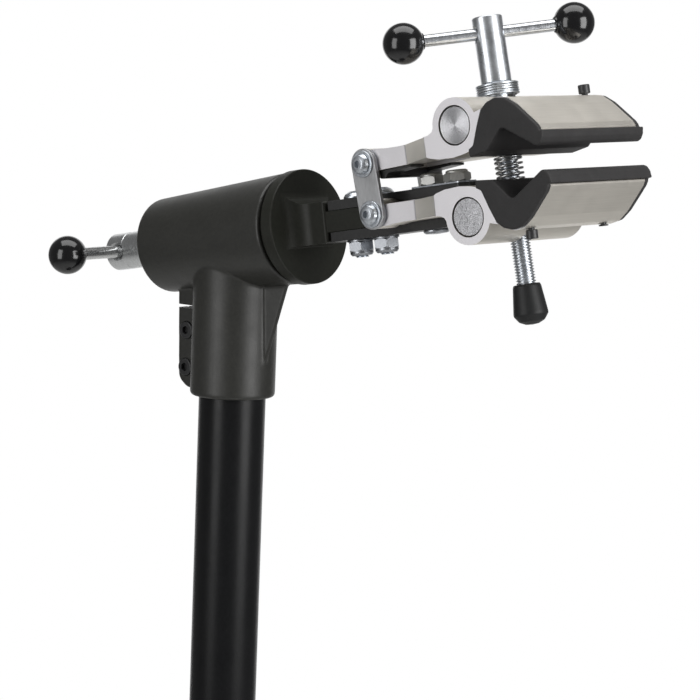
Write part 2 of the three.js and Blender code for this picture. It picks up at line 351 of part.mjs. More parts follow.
// ---- links and their bolts ----
{
  const L = LINK_LOW, U = LINK_TOP, a = Math.atan2(U[1] - L[1], U[0] - L[0]) / deg;
  const outline = [...arc(U[0], U[1], LINK_R, a - 90, a + 90, 14), ...arc(L[0], L[1], LINK_R, a + 90, a + 270, 14)];
  for (const [s, n] of [[-1, "near"], [1, "far"]]) {
    const y0 = s < 0 ? -LINK_Y - LINK_T : LINK_Y, y1 = s < 0 ? -LINK_Y : LINK_Y + LINK_T;
    mesh("link_" + n, cut(prismXZ(outline, y0, y1), rod(4.3, -60, 60, "y", [L[0], 0, L[1]], SEG.small), rod(4.3, -60, 60, "y", [U[0], 0, U[1]], SEG.small)), "zinc", head);
    for (const [c, w] of [[L, "lower"], [U, "upper"]]) {
      const out = LINK_Y + LINK_T, at = [c[0], 0, c[1]];
      const k = (v) => s * v;
      const st = (pairs) => (s < 0 ? pairs.map(([r, v]) => [r, -v]) : pairs);
      mesh("link_washer_" + w + "_" + n, turned(st([[4.3, out + 0.2], [9.5, out + 0.2], [9.5, out + 1.6], [4.3, out + 1.6], [4.3, out + 0.2]]), "y", at, SEG.small), "zinc", head);
      const b = turned(st([[0, 18], [3.95, 18], [3.95, out + 2.2], [3.95, out + 1.8], [7.35, out + 1.8], [7.35, out + 2.4], [6.3, out + 4.6], [4.2, out + 5.9], [0, out + 6.2]].filter((_, i) => i !== 2)), "y", at, SEG.small);
      const spacer = turned(st([[3.9, ARM_Y + 0.25], [10.3, ARM_Y + 0.25], [10.3, LINK_Y - 0.25], [3.9, LINK_Y - 0.25], [3.9, ARM_Y + 0.25]]), "y", at, SEG.small);
      const hx = hex(5, s < 0 ? -(out + 8) : out + 3, s < 0 ? -(out + 3) : out + 8, "y", [0, 0, 0]);
      mesh("link_bolt_" + w + "_" + n, cut(join(b, spacer), reposed(hx, move(c[0], 0, c[1]))), "steel", head);
    }
  }
}

export default root;
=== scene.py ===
import json
import math
import bpy
import bmesh
from mathutils import Matrix, Vector

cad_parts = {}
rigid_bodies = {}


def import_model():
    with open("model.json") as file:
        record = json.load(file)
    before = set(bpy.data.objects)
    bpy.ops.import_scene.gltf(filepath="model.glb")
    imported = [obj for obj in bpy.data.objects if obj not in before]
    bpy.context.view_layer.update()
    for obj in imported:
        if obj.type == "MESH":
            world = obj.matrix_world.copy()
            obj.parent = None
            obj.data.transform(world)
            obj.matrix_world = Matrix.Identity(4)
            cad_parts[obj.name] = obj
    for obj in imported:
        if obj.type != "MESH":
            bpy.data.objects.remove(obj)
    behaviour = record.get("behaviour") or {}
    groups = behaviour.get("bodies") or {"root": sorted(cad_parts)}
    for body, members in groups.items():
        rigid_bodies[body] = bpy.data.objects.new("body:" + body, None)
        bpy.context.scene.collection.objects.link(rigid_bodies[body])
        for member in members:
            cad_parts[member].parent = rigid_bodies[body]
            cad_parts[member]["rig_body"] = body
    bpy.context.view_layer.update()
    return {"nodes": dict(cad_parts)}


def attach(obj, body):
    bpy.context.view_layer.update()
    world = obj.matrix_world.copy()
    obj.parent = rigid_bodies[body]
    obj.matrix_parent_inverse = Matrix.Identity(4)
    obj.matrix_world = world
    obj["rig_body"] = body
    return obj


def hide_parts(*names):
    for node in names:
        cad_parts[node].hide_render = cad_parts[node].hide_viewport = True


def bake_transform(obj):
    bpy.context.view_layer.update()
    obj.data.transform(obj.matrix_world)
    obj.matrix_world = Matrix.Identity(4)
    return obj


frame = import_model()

scene = bpy.context.scene
PI = math.pi
cos, sin = math.cos, math.sin

# ------------------------------------------------------------------ frames, millimetres
HEAD_Z, PITCH = 1450.0, 0.18503
LOWER_PIN, UPPER_PIN, UPPER_TURN = (262.3, -10.7), (258.7, 52.2), 2.3
T, RX, RY, RZ = Matrix.Translation, (lambda a: Matrix.Rotation(a, 4, "X")), (lambda a: Matrix.Rotation(a, 4, "Y")), (lambda a: Matrix.Rotation(a, 4, "Z"))
WORLD = Matrix.Identity(4)
TOP = T((0, 0, HEAD_Z))
HEAD = TOP @ RY(-PITCH)
LOW_J = HEAD @ T((LOWER_PIN[0], 0, LOWER_PIN[1]))
UP_J = HEAD @ T((UPPER_PIN[0], 0, UPPER_PIN[1])) @ RY(-math.radians(UPPER_TURN)) @ RX(PI)
TILT = RY(-math.atan(0.0566))
LOW_S = HEAD @ T((LOWER_PIN[0], 0, LOWER_PIN[1])) @ TILT
UP_S = HEAD @ T((UPPER_PIN[0], 0, UPPER_PIN[1])) @ TILT
T_BAR = UP_S @ T((0, 0, 63.5)) @ RZ(math.radians(51.5))


# ------------------------------------------------------------------ mesh helpers
def obj_from(verts, faces):
    me = bpy.data.meshes.new("w")
    me.from_pydata(verts, [], faces)
    bm = bmesh.new()
    bm.from_mesh(me)
    bmesh.ops.recalc_face_normals(bm, faces=bm.faces)
    bm.to_mesh(me)
    bm.free()
    o = bpy.data.objects.new("w", me)
    scene.collection.objects.link(o)
    return o


def fillet(points, closed=True, n=5):
    """Rounds the corners that carry a third number, their radius."""
    out, count = [], len(points)
    for i, p in enumerate(points):
        r = p[2] if len(p) > 2 else 0
        if not r or (not closed and i in (0, count - 1)):
            out.append((p[0], p[1]))
            continue
        c = Vector((p[0], p[1]))
        a = Vector(points[i - 1][:2]) - c
        b = Vector(points[(i + 1) % count][:2]) - c
        ang = a.angle(b)
        t = min(r / math.tan(ang / 2), 0.48 * a.length, 0.48 * b.length)
        rr = t * math.tan(ang / 2)
        a.normalize()
        b.normalize()
        centre = c + (a + b).normalized() * (rr / sin(ang / 2))
        s, e = c + a * t - centre, c + b * t - centre
        a0, a1 = math.atan2(s.y, s.x), math.atan2(e.y, e.x)
        d = (a1 - a0 + PI) % (2 * PI) - PI
        for k in range(n + 1):
            w = a0 + d * k / n
            out.append((centre.x + rr * cos(w), centre.y + rr * sin(w)))
    return out


LAY = {"x": lambda r, w, s: (s, r * cos(w), r * sin(w)), "y": lambda r, w, s: (r * sin(w), s, r * cos(w)), "z": lambda r, w, s: (r * cos(w), r * sin(w), s)}


def lathe(prof, axis="z", at=(0, 0, 0), seg=64, n=5):
    ring_like = tuple(prof[0][:2]) == tuple(prof[-1][:2])
    pts = fillet(prof[:-1], True, n) if ring_like else fillet(prof, False, n)
    verts, idx, lay = [], [], LAY[axis]
    for r, s in pts:
        if r < 1e-9:
            idx.append([len(verts)] * seg)
            verts.append(lay(0, 0, s))
        else:
            idx.append([len(verts) + j for j in range(seg)])
            verts += [lay(r, 2 * PI * j / seg, s) for j in range(seg)]
    faces, m = [], len(pts)
    for i in range(m if ring_like else m - 1):
        a, b = idx[i], idx[(i + 1) % m]
        pa, pb = pts[i], pts[(i + 1) % m]
        if not ring_like and abs(pa[1] - pb[1]) < 1e-9 and min(pa[0], pb[0]) < 1e-9:
            faces.append(list(b if pa[0] < 1e-9 else a))
            continue
        for j in range(seg):
            k = (j + 1) % seg
            f = list(dict.fromkeys([a[j], a[k], b[k], b[j]]))
            if len(f) > 2:
                faces.append(f)
    verts = [(x + at[0], y + at[1], z + at[2]) for x, y, z in verts]
    o = obj_from(verts, faces)
    bm = bmesh.new()
    bm.from_mesh(o.data)
    bmesh.ops.delete(bm, geom=[v for v in bm.verts if not v.link_faces], context="VERTS")
    bm.to_mesh(o.data)
    bm.free()
    return o


def rod(r, a, b, axis="z", at=(0, 0, 0), seg=48, c=0.0):
    if c:
        return lathe([(0, a), (r, a, c), (r, b, c), (0, b)], axis, at, seg, 4)
    return lathe([(0, a), (r, a), (r, b), (0, b)], axis, at, seg)


def tube(ro, ri, a, b, axis="z", at=(0, 0, 0), seg=64, c=0.3):
    return lathe([(ri, a, c), (ro, a, c), (ro, b, c), (ri, b, c), (ri, a, c)], axis, at, seg, 3)


def prism(points, a, b, plane="xz", n=5):
    pts = fillet(points, True, n)
    m = len(pts)
    if plane == "xz":
        verts = [(x, a, z) for x, z in pts] + [(x, b, z) for x, z in pts]
    else:
        verts = [(x, y, a) for x, y in pts] + [(x, y, b) for x, y in pts]
    faces = [list(range(m)), list(range(m, 2 * m))] + [[i, (i + 1) % m, m + (i + 1) % m, m + i] for i in range(m)]
    return obj_from(verts, faces)


def box(x0, x1, y0, y1, z0, z1):
    return prism([(x0, y0), (x1, y0), (x1, y1), (x0, y1)], z0, z1, "xy")


def arc(cx, cz, r, a0, a1, n):
    return [(cx + r * cos(math.radians(a0 + (a1 - a0) * i / n)), cz + r * sin(math.radians(a0 + (a1 - a0) * i / n))) for i in range(n + 1)]


def moved(o, m):
    o.data.transform(m)
    return o


def bake(o):
    dg = bpy.context.evaluated_depsgraph_get()
    me = bpy.data.meshes.new_from_object(o.evaluated_get(dg), preserve_all_data_layers=True, depsgraph=dg)
    old = o.data
    o.modifiers.clear()
    o.data = me
    bpy.data.meshes.remove(old)
    return o


def clean(o, angle=0.6):
    bm = bmesh.new()
    bm.from_mesh(o.data)
    bmesh.ops.remove_doubles(bm, verts=bm.verts, dist=2e-4)
    bmesh.ops.dissolve_limit(bm, angle_limit=math.radians(angle), verts=bm.verts, edges=bm.edges, delimit={"NORMAL"})
    bmesh.ops.recalc_face_normals(bm, faces=bm.faces)
    bm.to_mesh(o.data)
    bm.free()
    return o


def boolean(a, tools, op):
    for t in tools:
        m = a.modifiers.new("b", "BOOLEAN")
        m.object, m.operation, m.solver = t, op, "EXACT"
        bake(a)
        bpy.data.objects.remove(t)
    return clean(a)


def cut(a, *tools):
    return boolean(a, tools, "DIFFERENCE")


def join(a, *tools):
    return boolean(a, tools, "UNION")


def meet(a, *tools):
    return boolean(a, tools, "INTERSECT")


def bevel(o, width, segments=3, angle=32):
    m = o.modifiers.new("v", "BEVEL")
    m.width, m.segments, m.limit_method, m.angle_limit = width, segments, "ANGLE", math.radians(angle)
    m.miter_outer, m.harden_normals, m.use_clamp_overlap = "MITER_ARC", False, True
    return bake(o)


def remesh(o, voxel, smooth=12, factor=0.5):
    m = o.modifiers.new("r", "REMESH")
    m.mode, m.voxel_size = "VOXEL", voxel
    bake(o)
    m = o.modifiers.new("s", "SMOOTH")
    m.iterations, m.factor = smooth, factor
    return bake(o)


def gather(*objs):
    """One mesh from several closed shells of the same piece."""
    bm = bmesh.new()
    for o in objs:
        bm.from_mesh(o.data)
    me = bpy.data.meshes.new("w")
    bm.to_mesh(me)
    bm.free()
    for o in objs:
        bpy.data.objects.remove(o)
    o = bpy.data.objects.new("w", me)
    scene.collection.objects.link(o)
    return o


def finish_piece(node, o, m, mat, name=None, smooth=32, extra=(), nodes=None, weighted=True):
    o.name = o.data.name = name or node + "_shape"
    o.data.transform(Matrix.Scale(0.001, 4) @ m)
    for p in o.data.polygons:
        p.use_smooth = True
    o.data.set_sharp_from_angle(angle=math.radians(smooth))
    if weighted:
        w = o.modifiers.new("n", "WEIGHTED_NORMAL")
        w.keep_sharp, w.weight = True, 60
        bake(o)
        o.data.name = o.name
    o.data.materials.clear()
    o.data.materials.append(mat)
    for e in extra:
        o.data.materials.append(e)
    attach(o, frame["nodes"][node]["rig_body"])
    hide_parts(*(nodes or [node]))
    return o


# ------------------------------------------------------------------ materials
class Mat:
    def __init__(self, name, color, metallic=0.0, rough=0.5, spec=0.5, coat=0.0, coat_rough=0.1, aniso=0.0):
        self.m = bpy.data.materials.new(name)
        self.m.use_nodes = True
        self.t = self.m.node_tree
        self.p = self.t.nodes["Principled BSDF"]
        self.set("Base Color", (*color, 1)).set("Metallic", metallic).set("Roughness", rough).set("Specular IOR Level", spec)
        if coat:
            self.set("Coat Weight", coat).set("Coat Roughness", coat_rough)
        if aniso:
            self.set("Anisotropic", aniso)
        self.color, self.rough = color, rough
        self.m.diffuse_color = (*color, 1)

    def set(self, k, v):
        self.p.inputs[k].default_value = v
        return self

    def node(self, kind, **kw):
        n = self.t.nodes.new(kind)
        for k, v in kw.items():
            if k.startswith("i_"):
                n.inputs[k[2:].replace("_", " ")].default_value = v
            else:
                setattr(n, k, v)
        return n

    def link(self, a, b):
        self.t.links.new(a, b)

    def coord(self, m=None, scale=(1, 1, 1)):
        """Object coordinates in millimetres, in the frame whose matrix is m."""
        tc = self.node("ShaderNodeTexCoord")
        s = self.node("ShaderNodeVectorMath", operation="SCALE")
        self.link(tc.outputs["Object"], s.inputs[0])
        s.inputs["Scale"].default_value = 1000.0
        out = s.outputs[0]
        if m is not None:
            inv = m.inverted()
            mp = self.node("ShaderNodeMapping", vector_type="POINT")
            mp.inputs["Location"].default_value = inv.to_translation()
            mp.inputs["Rotation"].default_value = inv.to_euler("XYZ")
            self.link(out, mp.inputs[0])
            out = mp.outputs[0]
        if tuple(scale) != (1, 1, 1):
            mp = self.node("ShaderNodeVectorMath", operation="MULTIPLY")
            mp.inputs[1].default_value = scale
            self.link(out, mp.inputs[0])
            out = mp.outputs[0]
        return out

    def noise(self, vec, scale, detail=3.0, rough=0.5):
        n = self.node("ShaderNodeTexNoise", i_Scale=scale, i_Detail=detail, i_Roughness=rough)
        self.link(vec, n.inputs["Vector"])
        return n.outputs["Fac"]

    def ramp(self, fac, lo, hi, a, b):
        r = self.node("ShaderNodeMapRange", clamp=True)
        for k, v in (("From Min", lo), ("From Max", hi), ("To Min", a), ("To Max", b)):
            r.inputs[k].default_value = v
        self.link(fac, r.inputs["Value"])
        return r.outputs["Result"]

    def mix(self, fac, a, b):
        m = self.node("ShaderNodeMix", data_type="RGBA")
        self.link(fac, m.inputs["Factor"])
        for k, v in ((6, a), (7, b)):
            if hasattr(v, "is_linked"):
                self.link(v, m.inputs[k])
            else:
                m.inputs[k].default_value = (*v, 1)
        return m.outputs[2]

    def math(self, op, a, b=None, clamp=False):
        m = self.node("ShaderNodeMath", operation=op, use_clamp=clamp)
        for i, v in enumerate((a, b)):
            if v is None:
                continue
            if hasattr(v, "is_linked"):
                self.link(v, m.inputs[i])
            else:
                m.inputs[i].default_value = v
        return m.outputs[0]

    def bump(self, height, dist_mm, strength=1.0):
        b = self.node("ShaderNodeBump", i_Strength=strength, i_Distance=dist_mm * 0.001)
        self.link(height, b.inputs["Height"])
        prev = self.p.inputs["Normal"]
        if prev.is_linked:
            self.link(prev.links[0].from_socket, b.inputs["Normal"])
        self.link(b.outputs[0], self.p.inputs["Normal"])
        return self

    def edges(self, radius_mm, gain=6.0):
        """1 on convex and concave edges, 0 on flat faces."""
        bv = self.node("ShaderNodeBevel", samples=6, i_Radius=radius_mm * 0.001)
        g = self.node("ShaderNodeNewGeometry")
        d = self.node("ShaderNodeVectorMath", operation="DOT_PRODUCT")
        self.link(bv.outputs[0], d.inputs[0])
        self.link(g.outputs["Normal"], d.inputs[1])
        inv = self.math("SUBTRACT", 1.0, d.outputs["Value"])
        return self.math("MULTIPLY", inv, gain, clamp=True)

    def color_in(self, v):
        self.link(v, self.p.inputs["Base Color"])
        return self

    def rough_in(self, v):
        self.link(v, self.p.inputs["Roughness"])
        return self


def powder(name, color, rough, grain=0.05, wear=0.35, spec=0.5):
    m = Mat(name, color, 0.0, rough, spec)
    c = m.coord()
    fine, broad = m.noise(c, 2.2, 3.0, 0.6), m.noise(c, 0.055, 4.0, 0.6)
    m.rough_in(m.ramp(m.math("ADD", m.math("MULTIPLY", broad, 0.7), m.math("MULTIPLY", fine, 0.3)), 0.3, 0.7, rough - 0.05, rough + 0.06))
    worn = m.math("MULTIPLY", m.edges(0.7, 5.0), m.ramp(broad, 0.35, 0.65, 0.2, 1.0))
    base = m.mix(m.ramp(m.noise(c, 0.4, 3.0), 0.35, 0.65, 0, 1), tuple(v * 0.88 for v in color), tuple(min(1, v * 1.14) for v in color))
    m.color_in(m.mix(m.math("MULTIPLY", worn, wear), base, tuple(min(1, v * 3.2 + 0.02) for v in color)))
    m.bump(fine, grain).bump(m.noise(c, 0.5, 2.0), grain * 1.2)
    return m.m


def metal(name, color, rough, frame_m=None, stretch=(1, 1, 1), lines=0.02, vary=0.08, edge=0.25, dark=0.8, cell=0.9):
    m = Mat(name, color, 1.0, rough)
    c = m.coord()
    b = m.coord(frame_m, stretch) if frame_m is not None else c
    broad, fine = m.noise(c, 0.09, 4.0, 0.6), m.noise(b, cell, 4.0, 0.65)
    m.rough_in(m.ramp(m.math("ADD", m.math("MULTIPLY", broad, 0.5), m.math("MULTIPLY", fine, 0.5)), 0.32, 0.68, max(0.05, rough - vary), rough + vary))
    tone = m.mix(m.ramp(fine, 0.3, 0.7, 0, 1), tuple(v * dark for v in color), color)
    m.color_in(m.mix(m.math("MULTIPLY", m.edges(0.5, 4.0), edge), tone, tuple(min(1, v * 1.25 + 0.05) for v in color)))
    m.bump(fine, lines)
    return m.m


casting = powder("casting_powder_coat", (0.0178, 0.0178, 0.0150), 0.44, 0.030, 0.22, 0.58)
disc_black = powder("disc_satin_black", (0.0134, 0.0140, 0.0104), 0.46, 0.014, 0.3, 0.26)
arm_black = powder("arm_satin_black", (0.020, 0.020, 0.020), 0.40, 0.02, 0.4)
base_black = powder("base_powder_coat", (0.027, 0.027, 0.028), 0.55, 0.06, 0.3)
post_black = powder("post_satin_black", (0.0062, 0.0064, 0.0070), 0.33, 0.010, 0.1, 0.22)
oxide = powder("screw_black_oxide", (0.022, 0.022, 0.023), 0.38, 0.01, 0.6)
zinc = metal("zinc_plate", (0.62, 0.655, 0.70), 0.33, lines=0.012, vary=0.09, cell=0.8, edge=0.35)
nut_zinc = metal("nut_zinc", (0.37, 0.385, 0.41), 0.36, lines=0.014, vary=0.10, cell=0.8, edge=0.6)
# Painted light: a brighter, rougher copy of the nut zinc for the jaw nuts, standing in for light their shaded faces do
# not receive.
jaw_nut_zinc = metal("jaw_nut_zinc", (0.64, 0.64, 0.62), 0.54, lines=0.014, vary=0.08, cell=0.8, edge=0.6)
zinc_link = metal("link_zinc", (0.52, 0.525, 0.535), 0.40, HEAD, (1, 1, 0.12), 0.014, 0.08, 0.9, 0.8, 1.1)
steel_y = metal("turned_steel_y", (0.74, 0.745, 0.745), 0.26, HEAD, (0.12, 1.6, 0.12), 0.008, 0.06)
steel_t = metal("turned_steel_t", (0.68, 0.70, 0.73), 0.24, T_BAR, (1.6, 0.12, 0.12), 0.008, 0.06)
steel_s = metal("turned_steel_s", (0.64, 0.665, 0.70), 0.30, UP_S, (0.12, 0.12, 1.6), 0.012, 0.08)
screw_steel = metal("screw_steel", (0.68, 0.705, 0.735), 0.34, UP_S, (0.5, 0.5, 1.0), 0.012, 0.09, cell=1.2)
steel_x = metal("turned_steel_x", (0.70, 0.71, 0.715), 0.29, HEAD, (1.6, 0.12, 0.12), 0.010, 0.06)
spring_steel = metal("spring_steel", (0.62, 0.63, 0.64), 0.33, lines=0.01)
bronze = metal("bearing_bronze", (0.46, 0.31, 0.13), 0.42, lines=0.02)


def pin_steel(name, px, granular):
    """Turned end faces: rings about the pin axis, or a fine broken grain. The ringed face also gets a painted sheen:
    colour made lighter and darker by the angle about the pin axis, in place of the turned face's reflection.
    """
    m = Mat(name, (0.50, 0.50, 0.52), 1.0, 0.32, aniso=0.4 if granular else 0.85)
    tg = m.node("ShaderNodeTangent", direction_type="RADIAL", axis="Y")
    m.link(tg.outputs[0], m.p.inputs["Tangent"])
    mm = HEAD @ T((px[0], 0, px[1]))
    c = m.coord(mm)
    flat = m.node("ShaderNodeVectorMath", operation="MULTIPLY")
    flat.inputs[1].default_value = (1, 0, 1)
    m.link(c, flat.inputs[0])
    ln = m.node("ShaderNodeVectorMath", operation="LENGTH")
    m.link(flat.outputs[0], ln.inputs[0])
    grain = m.noise(c, 1.1, 4.0, 0.75)
    rings = m.math("SINE", m.math("MULTIPLY", m.math("ADD", ln.outputs["Value"], m.math("MULTIPLY", grain, 0.35)), 9.0))
    k = 0.3 if granular else 1.0
    h = m.math("ADD", m.math("MULTIPLY", rings, 0.5 * k), m.math("MULTIPLY", grain, 2.2 if granular else 0.9))
    m.bump(h, 0.16 if granular else 0.09)
    m.rough_in(m.ramp(grain, 0.3, 0.7, 0.26, 0.44))
    lo, hi = ((0.13, 0.13, 0.135), (0.86, 0.86, 0.89)) if granular else ((0.24, 0.24, 0.25), (0.92, 0.92, 0.95))
    # Painted sheen: a fan of lighter and darker colour by the angle around the axis stands in for the reflection on the
    # turned face.
    if not granular:
        xyz = m.node("ShaderNodeSeparateXYZ")
        m.link(flat.outputs[0], xyz.inputs[0])
        turn = m.math("ARCTAN2", xyz.outputs["Z"], xyz.outputs["X"])
        painted_sheen_fan = m.math("COSINE", m.math("MULTIPLY", m.math("SUBTRACT", turn, 0.12), 2.0))
        h = m.math("ADD", h, m.math("MULTIPLY", painted_sheen_fan, 0.42))
    m.color_in(m.mix(m.ramp(h, 0.55 if granular else -0.1, 1.65 if granular else 1.1, 0, 1), lo, hi))
    return m.m


upper_pin_steel, lower_pin_steel = pin_steel("upper_pin_steel", UPPER_PIN, False), pin_steel("lower_pin_steel", LOWER_PIN, True)


def anodised(name, mm):
    """Satin anodised extrusion: die lines along its length on the long faces, a plain cut on the end faces, and a
    painted highlight: a lighter beige tone on the slanted shoulder faces that stands in for light falling on them.
    """
    m = Mat(name, (0.74, 0.71, 0.66), 1.0, 0.46)
    c = m.coord(mm)
    lines = m.noise(m.coord(mm, (1.4, 0.022, 1.4)), 1.0, 4.0, 0.7)
    g = m.node("ShaderNodeNewGeometry")
    n = m.node("ShaderNodeVectorMath", operation="DOT_PRODUCT")
    n.inputs[1].default_value = (0, 1, 0)
    tc = m.node("ShaderNodeTexCoord")
    m.link(tc.outputs["Normal"], n.inputs[0])
    side = m.ramp(m.math("ABSOLUTE", n.outputs["Value"]), 0.85, 0.97, 0, 1)
    broad, grit = m.noise(c, 0.05, 3.0), m.noise(c, 2.6, 3.0, 0.6)
    long_tone = m.mix(m.ramp(lines, 0.3, 0.7, 0, 1), (0.70, 0.668, 0.610), (0.765, 0.732, 0.672))
    end_tone = m.mix(m.ramp(grit, 0.35, 0.65, 0, 1), (0.72, 0.705, 0.725), (0.78, 0.765, 0.785))
    # Painted light: the slanted shoulder faces between the long faces and the ends, picked by their normal, get a
    # lighter beige tone in place of the light they would catch.
    painted_light_shoulder = m.math("MULTIPLY", m.ramp(m.math("ABSOLUTE", n.outputs["Value"]), 0.72, 0.82, 0, 1), m.math("SUBTRACT", 1.0, side))
    tone = m.mix(side, m.mix(painted_light_shoulder, long_tone, (0.98, 0.945, 0.86)), end_tone)
    m.color_in(m.mix(m.math("MULTIPLY", m.edges(0.5, 4.0), 0.5), tone, (0.86, 0.85, 0.84)))
    m.rough_in(m.ramp(m.math("ADD", m.math("MULTIPLY", broad, 0.5), m.math("MULTIPLY", grit, 0.5)), 0.3, 0.7, 0.42, 0.54))
    m.bump(m.math("MULTIPLY", lines, m.math("SUBTRACT", 1.0, side)), 0.018).bump(grit, 0.012)
    return m.m


alu_low, alu_up = anodised("jaw_anodised_lower", LOW_J), anodised("jaw_anodised_upper", UP_J)


def rubber(name, color, rough=0.72, grain=0.06, wear=0.5):
    m = Mat(name, color, 0.0, rough, 0.35)
    c = m.coord()
    fine, broad = m.noise(c, 1.8, 4.0, 0.65), m.noise(c, 0.07, 4.0, 0.65)
    scuff = m.ramp(m.noise(m.coord(HEAD, (0.7, 0.06, 0.7)), 1.0, 4.0, 0.7), 0.55, 0.8, 0, 1)
    base = m.mix(m.ramp(broad, 0.3, 0.7, 0, 1), tuple(v * 0.86 for v in color), tuple(v * 1.14 for v in color))
    base = m.mix(m.math("MULTIPLY", scuff, 0.35), base, tuple(v * 1.7 + 0.004 for v in color))
    m.color_in(m.mix(m.math("MULTIPLY", m.edges(0.7, 4.0), wear), base, tuple(v * 1.9 + 0.006 for v in color)))
    m.rough_in(m.ramp(fine, 0.3, 0.7, rough - 0.08, rough + 0.1))
    m.bump(fine, grain).bump(broad, grain * 1.5)
    return m.m


pad_rubber = rubber("pad_rubber", (0.0255, 0.0245, 0.0248), 0.62, wear=0.25)
cap_rubber = rubber("cap_rubber", (0.010, 0.0105, 0.011), 0.50, 0.025, 0.2)


def gloss(name):
    m = Mat(name, (0.0045, 0.0045, 0.005), 0.0, 0.16, 0.42, 0.35, 0.07)
    c = m.coord()
    m.rough_in(m.ramp(m.noise(c, 0.35, 5.0, 0.7), 0.35, 0.75, 0.13, 0.24))
    m.color_in(m.mix(m.ramp(m.noise(c, 0.9, 4.0), 0.6, 0.8, 0, 1), (0.0045, 0.0045, 0.005), (0.010, 0.010, 0.011)))
    m.bump(m.noise(c, 0.12, 2.0), 0.02)
    return m.m


knob_black = gloss("knob_polished_black")

# ------------------------------------------------------------------ floor plate, socket, post
x0, x1, py, pt, pc = -200, 380, 240, 12, 60
plate = prism([(x0 + pc, -py, 12), (x1 - pc, -py, 12), (x1, -py + pc, 12), (x1, py - pc, 12), (x1 - pc, py, 12), (x0 + pc, py, 12), (x0, py - pc, 12), (x0, -py + pc, 12)], 0, pt, "xy", 6)
drill = [rod(7, -1, 13, "z", (sx, sy, 0), 32) for sx in (x0 + 42, x1 - 42) for sy in (-py + 74, py - 74)]
bolt_xy = [(58 * cos(math.radians(45 + 90 * i)), 58 * sin(math.radians(45 + 90 * i))) for i in range(4)]
drill += [rod(6.4, -1, 13, "z", (x, y, 0), 32) for x, y in bolt_xy]
finish_piece("base_plate", bevel(cut(plate, *drill), 1.2, 3), WORLD, base_black)
socket = lathe([(25.35, 12.3), (76, 12.3), (76, 24, 2.5), (40, 24, 5), (34.6, 27.5, 10), (34, 120, 2.2), (25.35, 120, 0.8), (25.35, 12.3)], "z", seg=96)
socket = cut(socket, *[rod(6.4, 11, 25, "z", (x, y, 0), 32) for x, y in bolt_xy])
finish_piece("base_socket", bevel(socket, 0.6, 2, 40), WORLD, base_black)


def hexagon(af, a, b, at=(0, 0, 0), cham=1.0, turn=0.5):
    """Hexagon head along z with its corners turned off at both ends."""
    r = af / math.sqrt(3)
    o = prism([(r * cos((i + turn) * PI / 3) + at[0], r * sin((i + turn) * PI / 3) + at[1]) for i in range(6)], a, b, "xy")
    cone = lathe([(0, a), (af / 2 - 0.1, a), (r + 0.1, a + cham), (r + 0.1, b - cham), (af / 2 - 0.1, b), (0, b)], "z", at, 48)
    return meet(o, cone)


for i, (x, y) in enumerate(bolt_xy):
    z = 24.3
    b = gather(rod(6, 2, z + 1, "z", (x, y, 0), 32, 0.6), tube(11.5, 5.9, z, z + 2, "z", (x, y, 0), 48), bevel(hexagon(18, z + 1.8, z + 9.5, (x, y, 0)), 0.3, 2))
    finish_piece("base_bolt_%d" % (i + 1), b, WORLD, zinc)
post = lathe([(22, 12.4), (25, 12.4, 0.4), (25, HEAD_Z - 52, 0.4), (22, HEAD_Z - 52), (22, 12.4)], "z", seg=96)
finish_piece("post_tube", post, WORLD, post_black)


# ------------------------------------------------------------------ head casting
def hub_r(x):
    return 27 + (x + 40) * 0.066


barrel = lathe([(0, -72), (35.4, -72, 3.0), (41, 58.4, 1.4), (0, 58.4)], "x", seg=160, n=6)
barrel = moved(barrel, RY(-PITCH))
collar = lathe([(0, -119.3), (31.8, -119.3, 2.6), (31.8, -10), (0, -10)], "z", seg=128, n=6)
lug = prism([(-20, -117.0), (-37.5, -117.0, 9), (-46.3, -110.5, 9), (-48.5, -57), (-49, -38), (-20, -38)], -11, 11, "xz", 8)


def wedge(zt, zb):
    top = [(20, -6.4, zt), (53.6, -1.4, zt - 7), (53.6, 1.4, zt - 7), (20, 6.4, zt)]
    low = [(20, -6.4, zb), (31.2, -1.4, zb), (31.2, 1.4, zb), (20, 6.4, zb)]
    return obj_from(top + low, [[0, 1, 2, 3], [4, 5, 6, 7]] + [[i, (i + 1) % 4, 4 + (i + 1) % 4, 4 + i] for i in range(4)])


body = join(collar, bevel(lug, 1.6, 3, 30), wedge(-20, -96.5), barrel)
cavity = moved(join(lathe([(0, -42), (hub_r(-42) + 2.5, -42), (hub_r(61) + 2.5, 61), (0, 61)], "x", seg=96), rod(8.8, -110, -40, "x", seg=32)), RY(-PITCH))
body = cut(body, cavity, rod(25.35, -125, -50, "z", seg=96))
body = remesh(body, 0.85, 14, 0.5)
slot_cut = box(-54, -25.8, -41, 41, -57.2, -54.6)
slit = box(-54, -20, -1.2, 1.2, -125, -55.1)
body = cut(body, slot_cut, slit)
for z in (-73.6, -101.5):
    body = cut(body, rod(4.3, -40, 40, "y", (-38.6, 0, z), 24), rod(6.9, -40, -7.2, "y", (-38.6, 0, z), 40))
finish_piece("head_casting", body, TOP, casting, smooth=40, weighted=False)
for i, z in enumerate((-73.6, -101.5)):
    b = join(rod(4, -8, 10.5, "y", (-38.6, 0, z), 32, 0.5), rod(6.5, -12.4, -7.5, "y", (-38.6, 0, z), 48, 0.9))
    hexa = moved(hexagon(6, -14, -9, cham=0.01), T((-38.6, 0, z)) @ RX(-PI / 2))
    finish_piece("pinch_bolt_%d" % (i + 1), cut(b, hexa), TOP, oxide)

